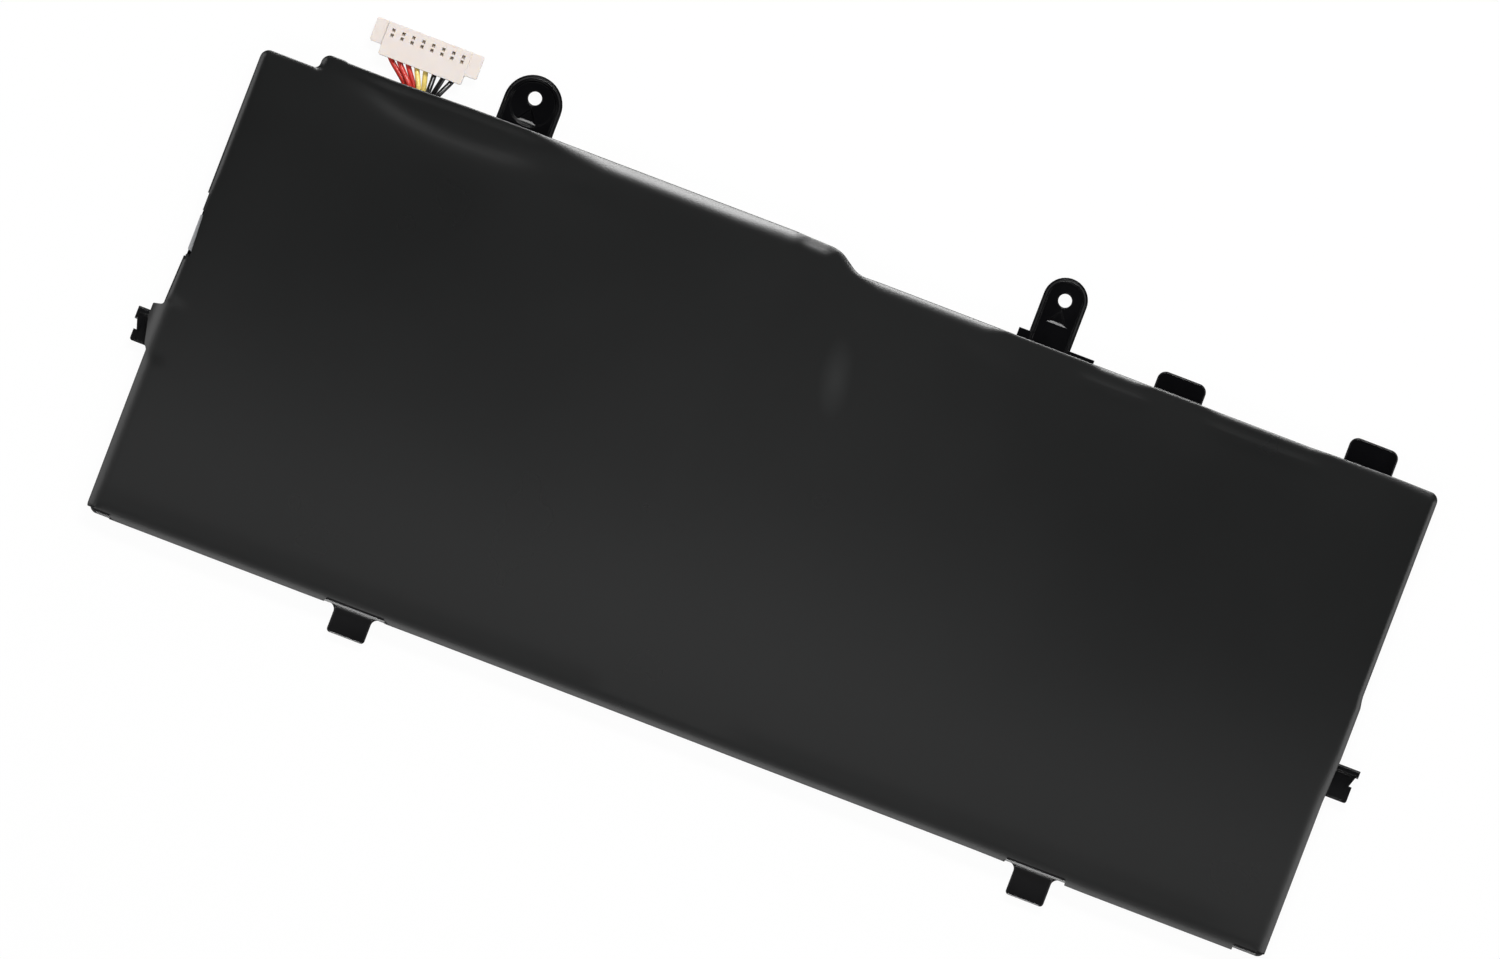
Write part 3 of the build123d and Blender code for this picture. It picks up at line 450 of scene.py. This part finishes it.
# Along each side: position, how far the edge stands out, width and drop of the soft fold there
filmEdges = {
    "top": ((-118, 0.05, 0.8, 0.08), (-107.4, 0.05, 0.6, 0.06), (-106.4, 0.1, 0.5, 0.05),
            (-102.6, 0.1, 0.5, 0.05), (-102.2, -0.1, 0.5, 0.05), (-92, -0.1, 0.5, 0.05),
            (-78, 0.25, 0.5, 0.05), (-66, 0.35, 0.5, 0.05),
            (-59, 0.35, 1.8, 0.25), (-50, 0.35, 3.0, 0.47), (-12.4, 0.42, 3.0, 0.47), (-10.9, 0.34, 2.0, 0.2),
            (-9.6, 0.3, 3.6, 0.36), (-6.2, 0.2, 3.6, 0.36), (-3.8, 0.1, 0.8, 0.08), (2, 0.0, 0.8, 0.1),
            (6, 0.1, 1.9, 0.29), (27, 0.1, 1.9, 0.29), (31, 0.1, 0.6, 0.06),
            (48, 0.1, 0.6, 0.06), (50.5, 0.1, 1.15, 0.17), (57, 0.1, 1.15, 0.17), (60.5, 0.1, 0.5, 0.05),
            (71, 0.1, 0.5, 0.05), (74, 0.05, 1.0, 0.13), (92, 0.05, 1.0, 0.13), (96, 0.2, 0.7, 0.08),
            (109, 0.4, 1.2, 0.12), (116, 0.3, 1.7, 0.17)),
    "bottom": ((-118, 0.0, 2.7, 0.45), (-75, 0.0, 2.7, 0.45), (-50, -0.1, 2.7, 0.45), (-15, -0.1, 2.7, 0.45),
               (15, 0.0, 2.7, 0.45), (60, 0.05, 2.7, 0.45), (82, 0.35, 2.9, 0.45), (110, 0.35, 2.9, 0.45)),
    "left": ((-46, 0.45, 2.8, 0.58), (-16, 0.5, 2.8, 0.58), (-4, 0.45, 1.6, 0.4), (4.8, 0.1, 1.2, 0.3),
             (17, 0.1, 1.2, 0.3), (22, 0.1, 1.6, 0.4), (46, 0.05, 1.6, 0.4)),
    "right": ((-46, -0.1, 2.8, 0.5), (-15, -0.1, 2.8, 0.5), (-6, 0.3, 2.2, 0.42), (4, 0.3, 1.6, 0.4),
              (6, -0.05, 1.4, 0.34), (46, -0.05, 1.4, 0.34)),
}
# Soft folds in the film: start, end, sag, half-width, height
filmFolds = (
    ((-98.0, 46.6), (-60.0, 46.0), 2.2, 1.9, -0.17),
    ((-105.0, 47.8), (-58.0, 47.8), 0.3, 2.6, -0.16),
    ((-57.0, 46.6), (-14.0, 46.6), 0.0, 4.0, 0.08),
    ((-60.0, 43.9), (-14.0, 43.7), 0.0, 1.4, 0.07),
    ((-11.8, 47.9), (-4.6, 47.7), 0.0, 0.9, 0.06),
    ((22.0, 41.0), (37.0, 38.6), 0.4, 1.2, 0.05),
    ((27.0, 38.2), (33.0, 37.2), 0.0, 0.8, 0.04),
    ((46.0, 43.2), (61.0, 43.2), 0.3, 0.9, 0.09),
    ((70.0, 43.4), (96.0, 43.4), 0.3, 0.9, 0.07),
)


def smooth(start, end, values):
    share = np.clip((values - start) / (end - start), 0, 1)
    return share * share * (3 - 2 * share)


def roundedLoop(corners, step):
    # Closed outline from corners (x, y, radius), as points about a step apart and closer on the arcs
    arcStep = 0.4 * step
    points = []
    count = len(corners)
    for i, (x, y, radius) in enumerate(corners):
        here = Vector((x, y))
        before = (Vector(corners[i - 1][:2]) - here).normalized()
        after = (Vector(corners[(i + 1) % count][:2]) - here).normalized()
        if radius:
            half = before.angle(after) / 2
            centre = here + (before + after).normalized() * (radius / math.sin(half))
            start = here + before * (radius / math.tan(half)) - centre
            turn = (math.pi - 2 * half) * (1 if before.cross(after) < 0 else -1)
            pieces = max(3, math.ceil(abs(turn) * radius / arcStep))
            for k in range(pieces + 1):
                a = turn * k / pieces
                points.append(centre + Vector((start.x * math.cos(a) - start.y * math.sin(a),
                                               start.x * math.sin(a) + start.y * math.cos(a))))
        else:
            points.append(here)
    filled = []
    for a, b in zip(points, points[1:] + points[:1]):
        pieces = max(1, round((b - a).length / step))
        filled += [a.lerp(b, k / pieces) for k in range(pieces)]
    return np.array([(p.x, p.y) for p in filled])


def edgeDistance(points, loop, values=None):
    # Distance of each point to a closed loop, positive inside, and the loop's values at the nearest place
    nearest = np.full(len(points), np.inf)
    inside = np.zeros(len(points), bool)
    carried = np.zeros((len(points), 0 if values is None else values.shape[1]))
    for i in range(len(loop)):
        a, b = loop[i - 1], loop[i]
        along = b - a
        t = np.clip(((points - a) @ along) / (along @ along), 0, 1)
        gap = np.linalg.norm(points - a - t[:, None] * along, axis=1)
        closer = gap < nearest
        nearest = np.where(closer, gap, nearest)
        if values is not None:
            here = values[i - 1] + t[:, None] * (values[i] - values[i - 1])
            carried = np.where(closer[:, None], here, carried)
        if a[1] != b[1]:
            crosses = (a[1] > points[:, 1]) != (b[1] > points[:, 1])
            reach = a[0] + (points[:, 1] - a[1]) / (b[1] - a[1]) * along[0]
            inside ^= crosses & (points[:, 0] < reach)
    distance = np.where(inside, nearest, -nearest)
    return distance if values is None else (distance, carried)


def bodyEdges():
    # Left, right, bottom, upper and bay edges of the pack's body
    low, high = nodeBox("bottom_film")
    inset = filmSheet["baseInset"]
    bayTop = high.y + inset
    return low.x - inset, high.x + inset, low.y - inset, bayTop - filmSheet["bayRise"], bayTop


def edgeTable(side, along, column):
    table = np.array(filmEdges[side])
    return np.interp(along, table[:, 0], table[:, column])


def filmOutline(withFlap):
    s = filmSheet
    left, right, bottom, top, bayTop = bodyEdges()
    r = s["cornerRadius"]
    bayStart = left + s["bayInset"]
    bayEnd = nodeBox("circuit_board")[1].x + s["bayEndWall"]
    halfStep = s["stepRun"] / 2
    corners = [(left, bottom, r), (right, bottom, r), (right, top, r),
               (bayEnd + halfStep, top, s["stepRadius"]), (bayEnd - halfStep, bayTop, s["stepRadius"]),
               (bayStart, bayTop, r), (bayStart, top, s["rootRadius"]), (left, top, r)]
    if withFlap:
        rootHigh, tipHigh, bend, foot, rootLow = s["flapYs"]
        far, near = s["flapReach"]
        flap = ((left, rootHigh), (left - far, tipHigh), (left - far, bend),
                (left - near, foot), (left, rootLow))
        corners += [(x, y, radius) for (x, y), radius in zip(flap, s["flapRadii"])]
    loop = roundedLoop(corners, s["edgeStep"])
    # the sheet's edge isn't dead straight
    zone = s["edgeZone"]
    x, y = loop[:, 0].copy(), loop[:, 1].copy()
    loop[:, 0] -= np.where(x < left + zone, edgeTable("left", y, 1), 0)
    loop[:, 0] += np.where(x > right - zone, edgeTable("right", y, 1), 0)
    loop[:, 1] -= np.where(y < bottom + zone, edgeTable("bottom", x, 1), 0)
    loop[:, 1] += np.where(y > top - zone, edgeTable("top", x, 1), 0)
    return loop


def inwardNormals(loop):
    tangent = np.roll(loop, -1, axis=0) - np.roll(loop, 1, axis=0)
    return np.stack((-tangent[:, 1], tangent[:, 0]), axis=1) / np.linalg.norm(tangent, axis=1)[:, None]


def foldSizes(loop):
    # Width and drop of the soft fold at each point of the outline
    normal = inwardNormals(loop)
    x, y = loop.T
    sizes = []
    for column in (2, 3):
        across = np.where(normal[:, 0] > 0, edgeTable("left", y, column), edgeTable("right", y, column))
        upright = np.where(normal[:, 1] > 0, edgeTable("bottom", x, column), edgeTable("top", x, column))
        sizes.append(normal[:, 0] ** 2 * across + normal[:, 1] ** 2 * upright)
    return np.stack(sizes, axis=1)


def filmLift(points):
    # Rise of the film over the cells, and its soft folds
    s = filmSheet
    x, y = points.T
    lift = np.zeros(len(points))
    room = nodeBox("top_film")[1].z - s["level"]
    for name in ("left_cell", "right_cell"):
        low, high = nodeBox(name)
        tapeLow, tapeHigh = nodeBox(name.replace("cell", "face_tape"))
        xLow, yHigh = tapeLow.x + tapeHigh.x - high.x, tapeLow.y + tapeHigh.y - low.y
        a, b, c, d = s["cellSlopes"][name]
        lift += room * (smooth(xLow - a, xLow + a, x) * smooth(high.x + b, high.x - b, x)
                        * smooth(low.y - c, low.y + c, y) * smooth(yHigh + d, yHigh - d, y))
    fadeLow, fadeHigh = s["foldFade"]
    for start, end, sag, width, height in filmFolds:
        a, b = np.array(start), np.array(end)
        run = np.linalg.norm(b - a)
        along = (b - a) / run
        t = ((points - a) @ along) / run
        inner = np.clip(t, 0, 1)
        off = (points - a) @ np.array((-along[1], along[0])) + sag * 4 * inner * (1 - inner)
        ends = smooth(fadeLow, fadeHigh, t) * smooth(1 - fadeLow, 1 - fadeHigh, t)
        lift += height * ends * np.exp(-(off / width) ** 2)
    return np.minimum(lift, room)


def filmHeight(points, depth, sizes):
    s = filmSheet
    x, y = points.T
    width, drop = sizes.T
    soft = drop * np.clip(1 - depth / width, 0, 1) ** 2
    share = np.clip(1 - depth / s["rollWidth"], 0, 1)
    roll = s["rollDrop"] * (1 - np.sqrt(1 - share ** 2))
    z = s["level"] + filmLift(points) * smooth(0.0, s["liftRun"], depth) - soft - roll
    # the flap rolls out over the left clip
    left = bodyEdges()[0]
    rootHigh, _, bend, _, rootLow = s["flapYs"]
    tip = left - s["flapReach"][0] - edgeTable("left", bend, 1)
    out = np.clip((left + s["flapStart"] - x) / (left + s["flapStart"] - tip), 0, 1)
    rolled = s["level"] - (s["level"] - s["flapTip"]) * out ** s["flapCurve"]
    blend = s["flapBlend"]
    onFlap = smooth(rootLow - blend, rootLow, y) * smooth(rootHigh + blend, rootHigh, y) * (out > 0)
    return z + (rolled - z) * np.where(depth < -s["edgeSlack"], 1, onFlap)


def filmCuts():
    # Corners of the cut-outs: bare lower corners, the notch at the cell's seam, and one at each lower hook
    s = filmSheet
    left, right, bottom = bodyEdges()[:3]
    hookHalf, hookDeep = s["hookNotch"]
    hookTop = hookHalf - s["hookSlant"]
    low, high, deepLow, deepHigh = s["sideNotch"]
    cutTop, cutLow = bottom + hookDeep, bottom - s["cutReach"]
    outLeft, outRight = left - s["cutReach"], right + s["cutReach"]
    bareLeft, bareRight = left + s["bareLeft"], right - s["bareRight"]
    cuts = [[(outLeft, cutLow), (bareLeft, cutLow), (bareLeft, cutTop), (outLeft, cutTop)],
            [(bareRight, cutLow), (outRight, cutLow), (outRight, cutTop), (bareRight, cutTop)],
            [(outLeft, low), (left + deepLow, low), (left + deepHigh, high), (outLeft, high)]]
    for x in s["hookXs"]:
        cuts.append([(x - hookHalf, cutLow), (x + hookHalf, cutLow),
                     (x + hookTop, cutTop), (x - hookTop, cutTop)])
    return [roundedLoop([(x, y, s["cutRadius"]) for x, y in corners], s["edgeStep"]) for corners in cuts]


def pointGrid(xs, ys):
    return np.stack(np.meshgrid(xs, ys), axis=-1).reshape(-1, 2)


def buildFilm():
    s = filmSheet
    left, right, bottom, _, bayTop = bodyEdges()
    body, sheet = filmOutline(False), filmOutline(True)
    points = [sheet]
    edges = [(i, (i + 1) % len(sheet)) for i in range(len(sheet))]
    # rows of points that follow the outline, close together where the film folds
    inward = inwardNormals(body)
    for ring in s["rings"]:
        row = body + inward * ring
        points.append(row[edgeDistance(row, body) > ring - s["edgeSlack"]])
    grid = pointGrid(np.arange(left, right, s["gridStep"]), np.arange(bottom, bayTop, s["gridStep"]))
    points.append(grid[edgeDistance(grid, body) > s["rings"][-1] + s["gridGap"]])
    flap = pointGrid(np.arange(sheet[:, 0].min(), left, s["flapStep"]),
                     np.arange(s["flapYs"][-1], s["flapYs"][0], s["flapStep"]))
    fromEdge, fromFold = s["flapMargins"]
    points.append(flap[(edgeDistance(flap, sheet) > fromEdge) & (edgeDistance(flap, body) < -fromFold)])
    # the cut-outs' borders are edges of the sheet
    cutLoops = filmCuts()
    count = sum(len(p) for p in points)
    for loop in cutLoops:
        points.append(loop)
        edges += [(count + i, count + (i + 1) % len(loop)) for i in range(len(loop))]
        count += len(loop)
    flat = [Vector(p) for p in np.concatenate(points)]
    spots, _, faces, *_ = geometry.delaunay_2d_cdt(flat, edges, [], 0, s["mergeGap"])
    spots = np.array([(p.x, p.y) for p in spots])
    faces = np.array([f for f in faces if len(f) == 3])
    middle = spots[faces].mean(axis=1)
    kept = edgeDistance(middle, sheet) > 0
    for loop in cutLoops:
        kept &= edgeDistance(middle, loop) < 0
    faces = faces[kept]
    depth, sizes = edgeDistance(spots, body, foldSizes(body))
    level = filmHeight(spots, depth, sizes)
    used = np.unique(faces)
    order = {int(v): i for i, v in enumerate(used)}
    shape = bmesh.new()
    corners = [shape.verts.new((spots[v, 0] * mm, spots[v, 1] * mm, level[v] * mm)) for v in used]
    for face in faces:
        shape.faces.new([corners[order[int(v)]] for v in face])
    shape.normal_update()
    for face in shape.faces:
        if face.normal.z < 0:
            face.normal_flip()
    # skirt down the frame's wall, along the folded edge only
    onEdge = {corners[order[int(v)]] for v in used if abs(depth[v]) < s["edgeSlack"]}
    rim = [e for e in shape.edges if e.is_boundary and all(v in onEdge for v in e.verts)]
    made = bmesh.ops.extrude_edge_only(shape, edges=rim)["geom"]
    for v in made:
        if isinstance(v, bmesh.types.BMVert):
            v.co.z = s["skirtBase"] * mm
    bmesh.ops.recalc_face_normals(shape, faces=shape.faces)
    mesh = bpy.data.meshes.new("faceFilm")
    shape.to_mesh(mesh)
    shape.free()
    if sum(p.normal.z * p.area for p in mesh.polygons) < 0:
        mesh.flip_normals()
    mesh.shade_smooth()
    source = bpy.data.objects.new("filmSource", mesh)
    bpy.context.scene.collection.objects.link(source)
    wall = source.modifiers.new("wall", "SOLIDIFY")
    wall.thickness = s["thickness"] * mm
    wall.offset = -1
    mesh = evaluatedMesh(source)
    mesh.set_sharp_from_angle(angle=math.radians(s["sharpAngle"]))
    # the face film carries the painted highlight streak
    newPiece("faceFilm", mesh, highlightedFilm, ("top_film",))
    print("film:", len(mesh.polygons), "faces")


buildFilm()


# Leads: eight insulated wires from the bay to the plug, each swept round along its own route
leadSet = {
    "diameter": 1.0,
    "sides": 20,
    "plugPitch": 2.0,
    "exitPitch": 0.90,
    "layerRise": 0.85,
    "rowPitch": 1.2,
    "exitShift": 1.78,    # of the bunch, from the plug's middle
    "wallGap": 3.75,      # from the bay's wall to the plug
    "riseEnd": 0.7,       # before the board's edge, where the upper row is up
    "fan": (0.18, 1.0),   # share of the sideways run in the first stretch, and its length
    "plugEntry": 0.9,     # inside the plug, where a lead is straight again
    "smoothness": 10,
    "curveOrder": 3,
    "order": (("red", 1), ("red", 2), ("red", 3), ("yellow", 1), ("yellow", 2),
              ("black", 1), ("black", 2), ("black", 3)),
}
leadFinishes = {"red": redPvc, "yellow": yellowPvc, "black": blackPvc}


def tubeTree():
    # Sweeps a round section along a curve
    tree = bpy.data.node_groups.new("leadTube", "GeometryNodeTree")
    tree.interface.new_socket("Geometry", in_out="INPUT", socket_type="NodeSocketGeometry")
    inputs = {}
    kinds = {"Diameter": "NodeSocketFloat", "Sides": "NodeSocketInt", "Finish": "NodeSocketMaterial"}
    for name, kind in kinds.items():
        inputs[name] = tree.interface.new_socket(name, in_out="INPUT", socket_type=kind).identifier
    tree.interface.new_socket("Geometry", in_out="OUTPUT", socket_type="NodeSocketGeometry")
    group = addNode(tree, "NodeGroupInput")
    radius = addNode(tree, "ShaderNodeMath", {"operation": "MULTIPLY"}, {1: 0.5},
                     {0: group.outputs["Diameter"]})
    ring = addNode(tree, "GeometryNodeCurvePrimitiveCircle",
                   links={"Resolution": group.outputs["Sides"], "Radius": radius.outputs[0]})
    swept = addNode(tree, "GeometryNodeCurveToMesh", inputs={"Fill Caps": True},
                    links={"Curve": group.outputs["Geometry"], "Profile Curve": ring.outputs["Curve"]})
    whole = addNode(tree, "GeometryNodeRealizeInstances", links={"Geometry": swept.outputs["Mesh"]})
    shaded = addNode(tree, "GeometryNodeSetShadeSmooth", links={"Geometry": whole.outputs["Geometry"]})
    coated = addNode(tree, "GeometryNodeSetMaterial",
                     links={"Geometry": shaded.outputs["Geometry"], "Material": group.outputs["Finish"]})
    addNode(tree, "NodeGroupOutput", links={"Geometry": coated.outputs["Geometry"]})
    return tree, inputs


def leadRoute(index):
    # From the joint on the board, out through the gap in the bay, and into the plug
    s = leadSet
    count = len(s["order"])
    name = "{}_lead_{}".format(*s["order"][index])
    low, high = nodeBox(name)
    plugLow, plugHigh = nodeBox("plug_housing")
    _, boardEnd, boardTop = nodeBox("circuit_board")[1]
    step = index - (count - 1) / 2
    plugX = (plugLow.x + plugHigh.x) / 2
    exitX = plugX + s["exitShift"]
    startX, wayX = exitX + step * s["exitPitch"], plugX + step * s["plugPitch"]
    lowZ = boardTop + s["diameter"] / 2
    exitZ = lowZ + (index % 2) * s["layerRise"]
    plugZ = (plugLow.z + plugHigh.z) / 2
    bayWall = plugLow.y - s["wallGap"]
    points = [(startX, low.y, lowZ)]
    if index % 2:
        points += [(startX, low.y + s["rowPitch"], lowZ), (startX, boardEnd - s["riseEnd"], exitZ)]
    share, run = s["fan"]
    points += [(startX, bayWall, exitZ), (startX + share * (wayX - startX), bayWall + run, exitZ),
               (wayX, plugLow.y + s["plugEntry"], plugZ), (wayX, high.y, plugZ)]
    return name, points


def buildLeads():
    tree, inputs = tubeTree()
    for index, (colour, number) in enumerate(leadSet["order"]):
        name, points = leadRoute(index)
        curve = bpy.data.curves.new(name, "CURVE")
        curve.dimensions = "3D"
        curve.resolution_u = leadSet["smoothness"]
        spline = curve.splines.new("NURBS")
        spline.points.add(len(points) - 1)
        for spot, point in zip(spline.points, points):
            spot.co = (*(Vector(point) * mm), 1)
        spline.order_u = leadSet["curveOrder"]
        spline.use_endpoint_u = True
        source = bpy.data.objects.new("leadSource", curve)
        bpy.context.scene.collection.objects.link(source)
        tube = source.modifiers.new("tube", "NODES")
        tube.node_group = tree
        tube[inputs["Diameter"]] = leadSet["diameter"] * mm
        tube[inputs["Sides"]] = leadSet["sides"]
        tube[inputs["Finish"]] = leadFinishes[colour]
        mesh = evaluatedMesh(source)
        newPiece(f"{colour}Lead{number}", mesh, leadFinishes[colour], (name,))
    print("leads:", len(leadSet["order"]))


buildLeads()
